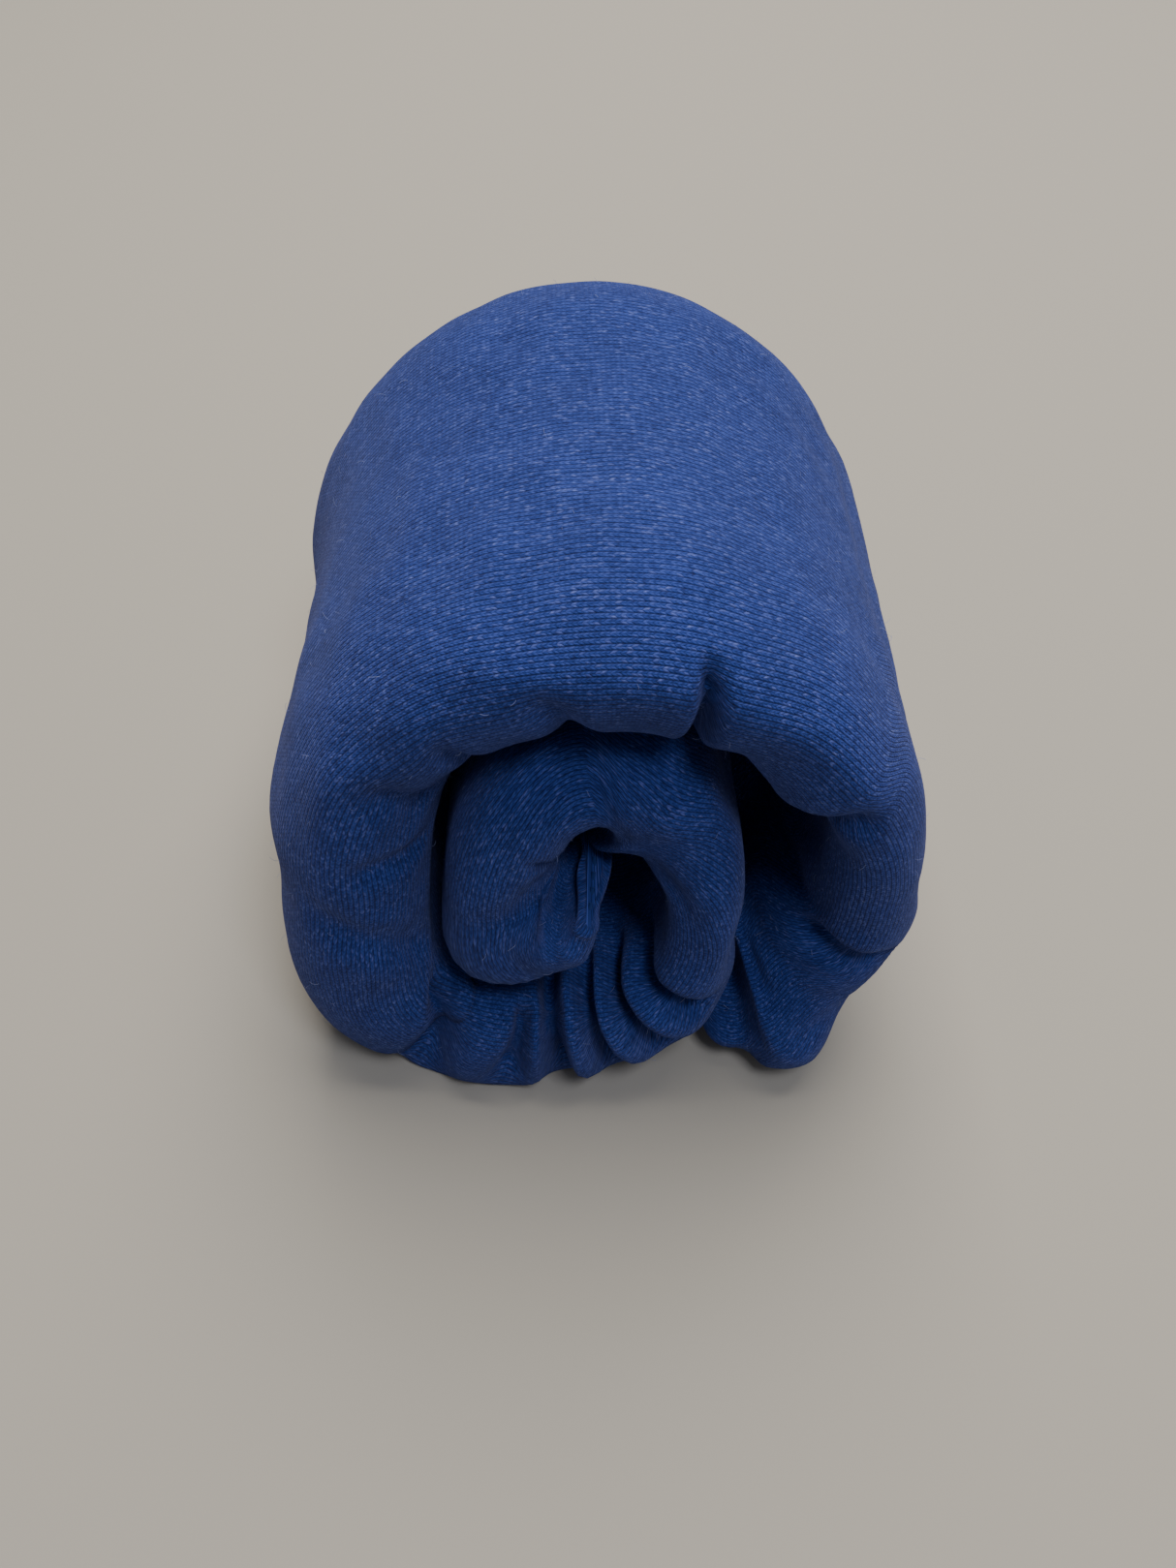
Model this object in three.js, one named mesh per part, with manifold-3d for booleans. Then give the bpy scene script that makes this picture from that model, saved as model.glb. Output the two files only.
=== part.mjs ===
// Small bolster pillow made by rolling up one padded knit sleeve, in millimetres, +Z up.
// The sleeve is a long flat tube of jersey with a fibre pad inside. It is wound a little over
// two turns: from a free tail on the floor, up the right side, over the top, down the left
// side, along the bottom and then round again as the inner coil, which ends in a thin hooked
// fold at the core. The roll leans back, so every layer shifts along Y as it rises.
import * as THREE from 'three';
import { mergeVertices } from 'three/addons/utils/BufferGeometryUtils.js';
import Module from 'manifold-3d';

// Overall sizes.
const ROLL_WIDTH = 110;
const ROLL_HEIGHT = 110;
const BAND_WIDTH = 94; // width of the flat sleeve, which runs along Y
const LEAN = 0.3; // shift along Y for each millimetre of height

// Thickness of the padded sleeve at the places where it turns.
const TAIL_THICKNESS = 17;
const WALL_THICKNESS = 13;
const TOP_THICKNESS = 28;
const SIDE_THICKNESS = 26;
const BOTTOM_THICKNESS = 25;
const COIL_THICKNESS = 17;
const COIL_SIDE_THICKNESS = 21;
const CORE_THICKNESS = 12;
const LIP_THICKNESS = 5;

// Air between the layers.
const HOLLOW = 14.5; // open space between the right wall and the inner coil
const LAYER_GAP = 2;
const TOP_GAP = 3.5;
const CORE_GAP = 5;
const TAIL_GAP = 1.5; // from the inner coil's right side to the start of the tail's round end
const LIP_RISE = 10; // height of the hooked lip above the core's lowest fold

// Places that are chosen as shares of the roll: the two sides' widest points by its height,
// and the highest and lowest points of the outer turn by its width.
const WALL_BELLY = 0.47;
const LEFT_BELLY = 0.5;
const COIL_BELLY = 0.38;
const TOP_SHIFT = 0.02;
const FOOT_SHIFT = -0.07;
const CORE_FOLD_SHIFT = -0.25; // share of the coil side's thickness, from the middle of the fold

// How far the coil's crown and the core's left side stand from the middle of their space.
const CROWN_SHIFT = -0.25;
const CORE_SIDE_SHIFT = -2.95;

// Cloth, pad and thread.
const COVER_WALL = 1.2;
const PAD_CLEARANCE = 0.3;
const CUT_GAP = 0.3; // slit between one stretch of the sleeve and the next
const THREAD_RADIUS = 0.5;
const THREAD_CLEARANCE = 0.3;
const THREAD_MARGIN = 12; // bare sleeve at each end of a closing seam

// The underside is pressed flat by its own weight, and the lower left corner bulges outwards.
const FOOT_SINK = 1.2;
const CORNER_SWELL = 5;

// Places along the roll, counted in quarter turns from the tail's end.
const CREASE_AT = 1.78; // the tail folds away from the roll here
const TUCK_AT = 3.5; // the outer turn passes under the inner coil here
const CROWN_AT = 6; // the inner coil's highest point
const TURNING_QUARTERS = 9;

// Fineness of the model.
const QUARTER_STEPS = 7;
const LOBE_STEPS = 6;
const END_ANGLES = [30, 60, 85];
const CUTTER_SCALE = 4; // how many times larger than the roll a flat cutter is

const wasm = await Module();
wasm.setup();

// Levels that the layers are stacked from, from the outside inwards.
const coilLeftEdge = -ROLL_WIDTH / 2 + SIDE_THICKNESS + LAYER_GAP;
const coilRightEdge = ROLL_WIDTH / 2 - WALL_THICKNESS - HOLLOW;
const coilTopEdge = ROLL_HEIGHT - TOP_THICKNESS - TOP_GAP;
const coreLeftEdge = coilLeftEdge + COIL_SIDE_THICKNESS;
const coreRightEdge = coilRightEdge - COIL_THICKNESS;
const lipX = (coreLeftEdge + coreRightEdge) / 2;
const coreLevel = BOTTOM_THICKNESS + CORE_GAP + CORE_THICKNESS / 2;
const crownLevel = coilTopEdge - COIL_THICKNESS / 2;

// Middle of the sleeve at each quarter turn. Even places run level and odd ones upright.
// The swell is how far the quarter turn that starts here bulges at its middle.
const PLACES = [
  { x: coilRightEdge + TAIL_GAP, z: TAIL_THICKNESS / 2 - FOOT_SINK, t: TAIL_THICKNESS },
  { x: (ROLL_WIDTH - WALL_THICKNESS) / 2, z: ROLL_HEIGHT * WALL_BELLY, t: WALL_THICKNESS },
  { x: ROLL_WIDTH * TOP_SHIFT, z: ROLL_HEIGHT - TOP_THICKNESS / 2, t: TOP_THICKNESS },
  {
    x: (SIDE_THICKNESS - ROLL_WIDTH) / 2,
    z: ROLL_HEIGHT * LEFT_BELLY,
    t: SIDE_THICKNESS,
    swell: CORNER_SWELL,
  },
  { x: ROLL_WIDTH * FOOT_SHIFT, z: BOTTOM_THICKNESS / 2 - FOOT_SINK, t: BOTTOM_THICKNESS },
  { x: coilRightEdge - COIL_THICKNESS / 2, z: ROLL_HEIGHT * COIL_BELLY, t: COIL_THICKNESS },
  { x: (coilLeftEdge + coilRightEdge) / 2 + CROWN_SHIFT, z: crownLevel, t: COIL_THICKNESS },
  {
    x: coilLeftEdge + COIL_SIDE_THICKNESS / 2,
    z: (coreLevel + crownLevel) / 2 + CORE_SIDE_SHIFT,
    t: COIL_SIDE_THICKNESS,
  },
  {
    x: (coreLeftEdge + lipX) / 2 + COIL_SIDE_THICKNESS * CORE_FOLD_SHIFT,
    z: coreLevel,
    t: CORE_THICKNESS,
  },
  { x: lipX, z: coreLevel + LIP_RISE, t: LIP_THICKNESS },
];

// Each quarter turn is a quarter of an ellipse between two places. Where that would bend the
// level end more tightly than half the sleeve's thickness, the ellipse is lower, and a straight
// upright run takes up the rest of the rise.
function spineAt(quarters) {
  const i = Math.min(Math.floor(quarters), TURNING_QUARTERS - 1);
  const a = PLACES[i];
  const b = PLACES[i + 1];
  const part = quarters - i;
  const level = i % 2 === 0;
  const rise = Math.abs(b.z - a.z);
  const levelHalf = (level ? a.t : b.t) / 2;
  const bendRise = Math.min(rise, (b.x - a.x) ** 2 / levelHalf);
  const bendShare = bendRise / rise;
  const fromLevel = level ? part : 1 - part;
  const angle = (Math.min(fromLevel / bendShare, 1) * Math.PI) / 2;
  const straight = Math.max(fromLevel - bendShare, 0) * rise;
  const across = Math.sin(angle);
  const up = (bendRise * (1 - Math.cos(angle)) + straight) / rise;
  const acrossRate = Math.cos(angle);
  const upRate = Math.sin(angle) * bendShare;
  const tangent = new THREE.Vector2((b.x - a.x) * acrossRate, (b.z - a.z) * upRate).normalize();
  const outward = new THREE.Vector2(tangent.y, -tangent.x);
  const bulge = (a.swell ?? 0) * Math.sin(2 * angle) ** 2;
  const start = level ? a : b;
  const end = level ? b : a;
  return {
    point: new THREE.Vector2(
      start.x + (end.x - start.x) * across,
      start.z + (end.z - start.z) * up,
    ).addScaledVector(outward, bulge),
    tangent,
    outward,
    half: THREE.MathUtils.lerp(a.t, b.t, THREE.MathUtils.smoothstep(part, 0, 1)) / 2,
  };
}

// Section of the flat sleeve: long along Y, with two round lobes. It leans with the height.
function ring(place, slide, half, halfWidth) {
  const points = [];
  const centre = place.point.clone().addScaledVector(place.tangent, slide);
  for (const side of [-1, 1]) {
    for (let k = 0; k <= LOBE_STEPS; k += 1) {
      const angle = (k / LOBE_STEPS) * Math.PI;
      const out = side * -Math.cos(angle) * half;
      const along = side * (halfWidth - half + Math.sin(angle) * half);
      const p = centre.clone().addScaledVector(place.outward, out);
      points.push(new THREE.Vector3(p.x, along + LEAN * p.y, p.y));
    }
  }
  return points;
}

// Rings that round off a free end, from its tip (sign -1) or towards its tip (sign 1).
function endRings(place, inset, sign) {
  const half = place.half - inset;
  const rings = END_ANGLES.map((degrees) => {
    const angle = THREE.MathUtils.degToRad(degrees);
    const slide = sign * half * Math.sin(angle);
    return ring(place, slide, half * Math.cos(angle), BAND_WIDTH / 2 - inset - half * (1 - Math.cos(angle)));
  });
  return sign < 0 ? rings.reverse() : rings;
}

// Joins rings into one closed body and fans a cap over each end.
function loft(rings) {
  const n = rings[0].length;
  const last = (rings.length - 1) * n;
  const index = [];
  for (let r = 0; r < rings.length - 1; r += 1) {
    for (let k = 0; k < n; k += 1) {
      const a = r * n + k;
      const b = r * n + ((k + 1) % n);
      index.push(a, a + n, b, b, a + n, b + n);
    }
  }
  for (let k = 1; k < n - 1; k += 1) {
    index.push(0, k, k + 1);
    index.push(last, last + k + 1, last + k);
  }
  return new THREE.BufferGeometry().setFromPoints(rings.flat()).setIndex(index);
}

// One stretch of the sleeve's outer shape, shrunk by inset. A free end is rounded. A cut end
// is pulled back by half the slit, or pushed out by `reach` where a cutter has to break through.
function stretch(from, to, inset, reach = -CUT_GAP / 2) {
  const steps = Math.ceil((to - from) * QUARTER_STEPS);
  const rings = [];
  for (let k = 0; k <= steps; k += 1) {
    const place = spineAt(THREE.MathUtils.lerp(from, to, k / steps));
    const freeStart = k === 0 && from === 0;
    const freeEnd = k === steps && to === TURNING_QUARTERS;
    if (freeStart) rings.push(...endRings(place, inset, -1));
    const cutStart = k === 0 && !freeStart ? -reach : 0;
    const cutEnd = k === steps && !freeEnd ? reach : 0;
    rings.push(ring(place, cutStart + cutEnd, place.half - inset, BAND_WIDTH / 2 - inset));
    if (freeEnd) rings.push(...endRings(place, inset, 1));
  }
  return loft(rings);
}

function toSolid(geometry) {
  const bare = geometry.clone();
  bare.deleteAttribute('normal');
  bare.deleteAttribute('uv');
  const merged = mergeVertices(bare);
  return new wasm.Manifold(
    new wasm.Mesh({
      numProp: 3,
      vertProperties: new Float32Array(merged.attributes.position.array),
      triVerts: new Uint32Array(merged.index.array),
    }),
  );
}

function toGeometry(solid) {
  const mesh = solid.getMesh();
  const geometry = new THREE.BufferGeometry();
  geometry.setAttribute('position', new THREE.BufferAttribute(mesh.vertProperties, 3));
  geometry.setIndex(new THREE.BufferAttribute(mesh.triVerts, 1));
  geometry.computeVertexNormals();
  return geometry;
}

// Everything below the given height, as a cutter that presses the underside flat.
function below(height) {
  const size = CUTTER_SCALE * (ROLL_WIDTH + BAND_WIDTH);
  return toSolid(new THREE.BoxGeometry(size, size, size).translate(0, 0, height - size / 2));
}

// A stretch of the knit sleeve: a thin wall round the pad's space, open where it was cut.
function coverGeometry(from, to) {
  const outside = toSolid(stretch(from, to, 0)).subtract(below(0));
  const inside = toSolid(stretch(from, to, COVER_WALL, COVER_WALL)).subtract(below(COVER_WALL));
  return toGeometry(outside.subtract(inside));
}

// The fibre pad that fills that stretch.
function padGeometry(from, to) {
  const inset = COVER_WALL + PAD_CLEARANCE;
  return toGeometry(toSolid(stretch(from, to, inset)).subtract(below(inset)));
}

// The thread that closes a free end of the sleeve, lying along Y just off the round end.
function threadGeometry(at, sign) {
  const place = spineAt(at);
  const slide = sign * (place.half + THREAD_CLEARANCE + THREAD_RADIUS);
  const centre = place.point.clone().addScaledVector(place.tangent, slide);
  const length = BAND_WIDTH - 2 * THREAD_MARGIN;
  return new THREE.CylinderGeometry(THREAD_RADIUS, THREAD_RADIUS, length, LOBE_STEPS * 2)
    .translate(centre.x, LEAN * centre.y, centre.y);
}

const knit = { color: 0x36508a, roughness: 0.92, metalness: 0 };
const fibre = { color: 0xe8e6df, roughness: 1, metalness: 0 };
const sewingThread = { color: 0x2c4278, roughness: 0.7, metalness: 0 };

function named(name, geometry, look) {
  const mesh = new THREE.Mesh(geometry, new THREE.MeshStandardMaterial(look));
  mesh.name = name;
  return mesh;
}

const STRETCHES = [
  ['tail_wrap', 0, CREASE_AT],
  ['outer_turn', CREASE_AT, TUCK_AT],
  ['inner_turn', TUCK_AT, CROWN_AT],
  ['core_fold', CROWN_AT, TURNING_QUARTERS],
];

const bolster = new THREE.Group();
for (const [name, from, to] of STRETCHES) {
  bolster.add(named(`cover_${name}`, coverGeometry(from, to), knit));
  bolster.add(named(`pad_${name}`, padGeometry(from, to), fibre));
}
bolster.add(named('thread_tail_end', threadGeometry(0, -1), sewingThread));
bolster.add(named('thread_core_end', threadGeometry(TURNING_QUARTERS, 1), sewingThread));

// The origin sits under the middle of the whole roll.
const box = new THREE.Box3().setFromObject(bolster);
bolster.position.y = -(box.min.y + box.max.y) / 2;

export default bolster;
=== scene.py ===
# %% [markdown]
# # A rolled bolster pillow in heathered jersey
#
# The real object is one long flat sleeve of sweatshirt jersey with a fibre pad inside, wound
# up like a cinnamon roll. Its parts in this file are the knit cover, the pad in it, the two
# seams that close the sleeve's ends, and the loose fibres that stand off a brushed cotton knit.
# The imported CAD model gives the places; everything below is built around it.

# %% Load the fixed frame
import math

import bpy
import numpy as np
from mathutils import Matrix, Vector


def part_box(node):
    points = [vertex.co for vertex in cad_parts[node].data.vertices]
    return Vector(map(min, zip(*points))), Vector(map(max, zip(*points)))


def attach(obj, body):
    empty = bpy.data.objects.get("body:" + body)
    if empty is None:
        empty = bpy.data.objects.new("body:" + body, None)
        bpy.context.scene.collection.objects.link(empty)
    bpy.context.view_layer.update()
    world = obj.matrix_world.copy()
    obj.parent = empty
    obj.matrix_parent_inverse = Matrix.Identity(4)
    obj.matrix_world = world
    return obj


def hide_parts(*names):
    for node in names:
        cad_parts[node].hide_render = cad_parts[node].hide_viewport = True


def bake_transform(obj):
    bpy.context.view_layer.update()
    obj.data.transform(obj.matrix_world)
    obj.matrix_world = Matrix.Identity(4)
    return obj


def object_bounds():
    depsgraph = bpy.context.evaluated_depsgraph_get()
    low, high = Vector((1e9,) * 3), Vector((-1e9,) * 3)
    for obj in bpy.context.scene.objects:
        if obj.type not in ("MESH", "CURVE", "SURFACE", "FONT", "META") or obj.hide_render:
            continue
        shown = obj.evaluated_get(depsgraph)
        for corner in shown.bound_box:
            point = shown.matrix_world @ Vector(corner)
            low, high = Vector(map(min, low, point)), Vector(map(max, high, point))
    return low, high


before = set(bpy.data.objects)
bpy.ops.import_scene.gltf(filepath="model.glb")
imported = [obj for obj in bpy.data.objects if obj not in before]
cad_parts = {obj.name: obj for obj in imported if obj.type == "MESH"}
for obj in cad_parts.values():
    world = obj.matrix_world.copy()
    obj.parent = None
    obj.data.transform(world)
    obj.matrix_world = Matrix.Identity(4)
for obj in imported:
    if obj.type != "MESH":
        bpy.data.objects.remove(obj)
CAD_LOW, CAD_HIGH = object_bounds()
MM = 0.001
SEED = 7
scene = bpy.context.scene
print("CAD box in mm:", [round(v / MM, 1) for v in (*CAD_LOW, *CAD_HIGH)])

# %% [markdown]
# ## Camera
#
# The roll is looked down on, from in front of its end and a little to the left, with a short
# lens held close. A close short lens makes the near end look larger than the far end, so the
# distance matters as much as the angle. A longer lens from further off would flatten the roll.

# %% Camera
CAMERA_LENS = 28.1
CAMERA_PITCH = 54.5  # degrees below the horizon
CAMERA_TURN = -2.5
CAMERA_PLACE = Vector((-6.8, -149.5, 233.0)) * MM

camera_data = bpy.data.cameras.new("camera")
camera_data.lens = CAMERA_LENS
camera_data.sensor_width = 36.0
camera_data.clip_start = 0.005
camera = bpy.data.objects.new("camera", camera_data)
camera.location = CAMERA_PLACE
camera.rotation_euler = (math.radians(90 - CAMERA_PITCH), 0, math.radians(CAMERA_TURN))
scene.collection.objects.link(camera)
scene.camera = camera
print("camera is", round(CAMERA_PLACE.length / MM), "mm from the origin")

# %% [markdown]
# ## The path of the roll
#
# Seen from its end, the sleeve follows a spiral: along the floor, up the right wall, over the
# top, down the left side, along the bottom and round again into the inner coil. A mathematical
# spiral would be too even, and a hand-drawn curve hard to adjust, so the path is a chain of
# quarter ellipses. The places where they meet are read from the boxes of the CAD nodes, which
# keeps the cover in the space that its solids hold.

# %% Places where the quarter turns meet
def box_mm(node):
    low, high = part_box(node)
    return low / MM, high / MM


WHOLE_LOW, WHOLE_HIGH = CAD_LOW / MM, CAD_HIGH / MM
COIL_HIGH = box_mm("cover_inner_turn")[1]
CORE_LOW, CORE_HIGH = box_mm("cover_core_fold")
WIDTH = WHOLE_HIGH.x - WHOLE_LOW.x
HEIGHT = WHOLE_HIGH.z
FRONT = WHOLE_LOW.y

PLACES = np.array([
    (COIL_HIGH.x - 3.5, 7.3),  # the tail's end, on the floor
    (WHOLE_HIGH.x - 6.5, HEIGHT * 0.47),  # right wall
    (WIDTH * 0.02, HEIGHT - 14.0),  # top
    (WHOLE_LOW.x + 13.0, HEIGHT * 0.5),  # left side
    (WIDTH * -0.07, 11.3),  # bottom
    (COIL_HIGH.x - 8.5, HEIGHT * 0.38),  # coil's right side
    (0.0, COIL_HIGH.z - 8.5),  # coil's crown
    (CORE_LOW.x + 10.5, HEIGHT * 0.455),  # coil's left side
    (CORE_LOW.x + 18.5, CORE_LOW.z + 13.5),  # lowest fold of the core
    (CORE_HIGH.x - 5.3, CORE_LOW.z + 21.0),  # the core's lip
])
QUARTERS = len(PLACES) - 1
# quarter, bulge at its middle in mm
SWELLS = {0: 1.8, 1: 0.1, 2: -0.6, 3: 5.0}


def spine(turn):
    """Middle of the sleeve, its direction and its outward normal, turn counting quarters."""
    i = np.clip(np.floor(turn).astype(int), 0, QUARTERS - 1)
    start, end = PLACES[i], PLACES[i + 1]
    angle = (turn - i) * np.pi / 2
    sine, cosine = np.sin(angle), np.cos(angle)
    level = i % 2 == 0  # this quarter leaves its first place level, the next one upright
    across, up = np.where(level, sine, 1 - cosine), np.where(level, 1 - cosine, sine)
    across_rate, up_rate = np.where(level, cosine, sine), np.where(level, sine, cosine)
    point = start + (end - start) * np.c_[across, up]
    tangent = (end - start) * np.c_[across_rate, up_rate]
    tangent /= np.linalg.norm(tangent, axis=1)[:, None]
    normal = np.c_[tangent[:, 1], -tangent[:, 0]]
    bulge = np.array([SWELLS.get(k, 0.0) for k in range(QUARTERS)])[i] * np.sin(2 * angle) ** 2
    return point + bulge[:, None] * normal, tangent, normal


# %% [markdown]
# ## The shape of the sleeve along its path
#
# A padded sleeve is never evenly thick. It is fat where it is free and thin where it is
# pulled or pressed. Sculpting would catch that, but it couldn't be changed later by a number,
# so a short table of stations says how far the cloth stands off the path on its outer and
# inner side, how far its front lobe reaches, and how long each side takes to round over into
# the lobe. Values in between come from a smooth curve.

# %% Stations of the sleeve
# turn, outer half, inner half, front tip behind the front, outer round, inner round, press
STATIONS = np.array([
    (0.00, 6.0, 6.0, 6.0, 8.0, 20.0, 0.0),
    (0.15, 7.0, 11.0, 2.0, 8.0, 26.0, 3.0),
    (0.30, 8.0, 17.0, 1.0, 9.0, 28.0, 8.0),
    (0.55, 10.0, 16.0, 8.5, 12.0, 24.0, 8.0),
    (0.78, 11.8, 9.0, 11.0, 12.0, 10.0, 2.0),
    (1.00, 8.2, 8.0, 12.5, 12.0, 10.0, 1.0),
    (1.30, 7.8, 8.0, 15.0, 14.0, 11.0, 0.0),
    (1.42, 8.5, 14.0, 16.0, 20.0, 14.0, 2.0),
    (1.60, 10.0, 14.0, 19.0, 25.0, 15.0, 2.0),
    (1.78, 11.5, 16.0, 21.0, 28.0, 16.0, 3.0),
    (2.00, 12.8, 16.0, 22.0, 30.0, 16.0, 3.0),
    (2.50, 12.5, 13.0, 21.0, 27.0, 14.0, 1.0),
    (3.00, 14.5, 13.5, 15.0, 22.0, 13.0, 1.0),
    (3.25, 17.5, 11.0, 10.0, 16.0, 12.0, 0.0),
    (3.50, 22.0, 8.0, 6.0, 14.0, 10.0, 0.0),
    (3.75, 18.0, 13.0, 1.5, 12.0, 10.0, 0.0),
    (4.00, 12.5, 13.0, 0.0, 12.0, 12.0, 4.0),
    (4.50, 11.0, 9.0, 3.0, 12.0, 10.0, 4.5),
    (5.00, 6.5, 7.5, 9.0, 11.0, 7.0, 1.0),
    (5.25, 7.0, 9.5, 12.0, 12.0, 7.0, 0.0),
    (5.45, 7.5, 13.0, 16.0, 13.0, 9.0, 0.0),
    (5.70, 8.5, 20.0, 18.0, 14.0, 9.0, 0.0),
    (5.90, 8.5, 16.0, 19.0, 14.0, 8.0, 0.0),
    (6.08, 8.5, 5.0, 19.0, 14.0, 7.0, 0.0),
    (6.50, 10.0, 9.0, 16.0, 14.0, 9.0, 0.0),
    (7.00, 11.0, 10.5, 11.0, 13.0, 10.0, 0.0),
    (7.50, 17.5, 8.0, 7.0, 11.0, 7.0, 0.0),
    (8.00, 7.0, 3.5, 5.0, 6.0, 3.0, 0.0),
    (8.40, 4.0, 2.5, 5.0, 3.0, 2.0, 0.0),
    (9.00, 2.5, 2.0, 9.0, 3.0, 2.0, 0.0),
])
# turn, length of the sleeve's width along Y
SLEEVE_WIDTHS = np.array([
    (0.0, 84.0), (1.0, 92.0), (2.0, 99.0), (3.0, 96.0), (4.0, 92.0), (9.0, 88.0),
])
# The left side is drawn in at its waist, and the right side stands wider towards the back.
WAIST_SHARE, WAIST_PLACE, WAIST_REACH = 0.055, 20.0, 22.0
BACK_SHARE, BACK_START, BACK_REACH = 0.012, 10.0, 40.0
SIDE_REACH = 30.0  # mm from the middle to where a side counts in full
BACK_ROUND = 0.72  # the back lobe rounds over in this share of the front lobe's distance


def smooth(t):
    return t * t * (3 - 2 * t)


def along(table, column, turn):
    """One column of a table at any turn, by a cubic curve that never overshoots its rows."""
    keys, values = table[:, 0], table[:, column]
    span = np.diff(keys)
    rise = np.diff(values) / span
    before, after = rise[:-1], rise[1:]
    same_way = before * after > 0
    mean = 2 * before * after / np.where(same_way, before + after, 1)
    rate = np.r_[0, np.where(same_way, mean, 0), 0]
    i = np.clip(np.searchsorted(keys, turn, side="right") - 1, 0, len(keys) - 2)
    t = np.clip((turn - keys[i]) / span[i], 0, 1)
    curve = values[i] + (values[i + 1] - values[i]) * smooth(t)
    return curve + span[i] * t * (1 - t) * ((1 - t) * rate[i] - t * rate[i + 1])


# %% [markdown]
# ## Creases
#
# Where padded cloth bends sharply or is drawn in, it creases across its lobe. They could be
# sculpted by hand or left to a simulation, but their places are known, so each is a narrow
# valley at one turn. Its window says how much of the lobe it crosses, measured as an angle
# from the inner side (-90) over the tip (0) to the outer side (90). A window that starts below
# -90 lets the crease run on over the inner face, as the folds under the coil do.

# %% Creases
# turn, half width in turns, from angle, to angle, depth, slant in turns for each radian
CREASES = (
    (0.71, 0.040, -84, 45, 4.0, 0.0),  # the tail bends in under the roll
    (0.42, 0.060, -84, 20, 0.8, 0.05),
    (1.33, 0.035, -84, 15, 3.0, 0.0),  # under the wall's overhanging edge
    (1.80, 0.022, -84, 38, 6.5, 0.035),  # the tail starts here
    (2.14, 0.050, -80, 20, 2.2, 0.05),
    (2.43, 0.035, -70, 8, 2.0, 0.0),
    (2.66, 0.060, -75, 15, 2.2, -0.05),
    (2.93, 0.045, -80, 10, 1.8, 0.0),
    (3.16, 0.060, -80, 40, 2.2, -0.13),
    (3.60, 0.045, -84, 55, 6.5, 0.07),  # the outer turn passes under the coil
    (3.83, 0.050, -84, 40, 6.0, 0.0),
    (4.00, 0.050, -115, 62, 9.0, 0.02),
    (4.20, 0.050, -115, 56, 8.0, 0.02),
    (4.42, 0.055, -115, 52, 7.5, 0.03),
    (4.66, 0.060, -115, 40, 5.5, 0.03),
    (6.55, 0.040, -84, 10, 2.0, 0.0),
)
CREASE_FADE_IN, CREASE_FADE_OUT = 22.0, 25.0
TUCK = 3.62  # the outer turn passes under the coil here, and the cover is split here
TUCK_HALF, TUCK_DEPTH = 0.03, 1.2


def crease_depth(turn, angle):
    degrees = math.degrees(angle)
    depth = TUCK_DEPTH * np.exp(-(((turn - TUCK) / TUCK_HALF) ** 2))
    for at, half, first, last, deep, slant in CREASES:
        valley = np.exp(-(((turn - at - slant * angle) / half) ** 2))
        shown = np.clip((degrees - first) / CREASE_FADE_IN, 0, 1)
        shown *= np.clip((last - degrees) / CREASE_FADE_OUT, 0, 1)
        depth += deep * valley * shown
    return depth


# %% [markdown]
# ## The cover's surface
#
# The cover is one tube of jersey. It could be lofted from curves, but a grid worked out
# section by section keeps every rib of the knit running along the sleeve. One section is
# drawn at each station: front lobe, outer face, back lobe, inner face. It is then sampled again
# at even steps round its edge. Both free ends close in a quarter round.

# %% Sections and grid
LOBE_SAMPLES, FACE_SAMPLES = 60, 40
LEAST_PAD = 0.8  # mm, half thickness of a pad at its thinnest
PRESS_FADE = 18.0  # mm over which the pressed inner face fades in from each lobe
TAIL_ROUND, CORE_ROUND = 6.5, 2.4  # mm, how far each closed end stands out
END_ANGLES = np.radians((12, 25, 38, 50, 61, 71, 80))


def dense_turns(step):
    """Turns at even distances along the path, and those distances in millimetres."""
    fine = np.linspace(0, QUARTERS, 4000)
    point = spine(fine)[0]
    run = np.r_[0, np.cumsum(np.linalg.norm(np.diff(point, axis=0), axis=1))]
    even = np.linspace(0, run[-1], int(round(run[-1] / step)) + 1)
    return np.interp(even, run, fine), even


def with_ends(turn, run):
    """Adds the rings of both rounded ends: turn, run, slide along the path, angle, round."""
    head, foot = END_ANGLES[::-1], END_ANGLES
    slide = np.r_[-TAIL_ROUND * np.sin(head), np.zeros(len(turn)), CORE_ROUND * np.sin(foot)]
    turns = np.r_[np.full(len(head), turn[0]), turn, np.full(len(foot), turn[-1])]
    runs = np.r_[np.full(len(head), run[0]), run, np.full(len(foot), run[-1])] + slide
    angle = np.r_[head, np.zeros(len(turn)), foot]
    radius = np.where(slide < 0, TAIL_ROUND, CORE_ROUND)
    return turns, runs, slide, angle, radius


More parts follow.
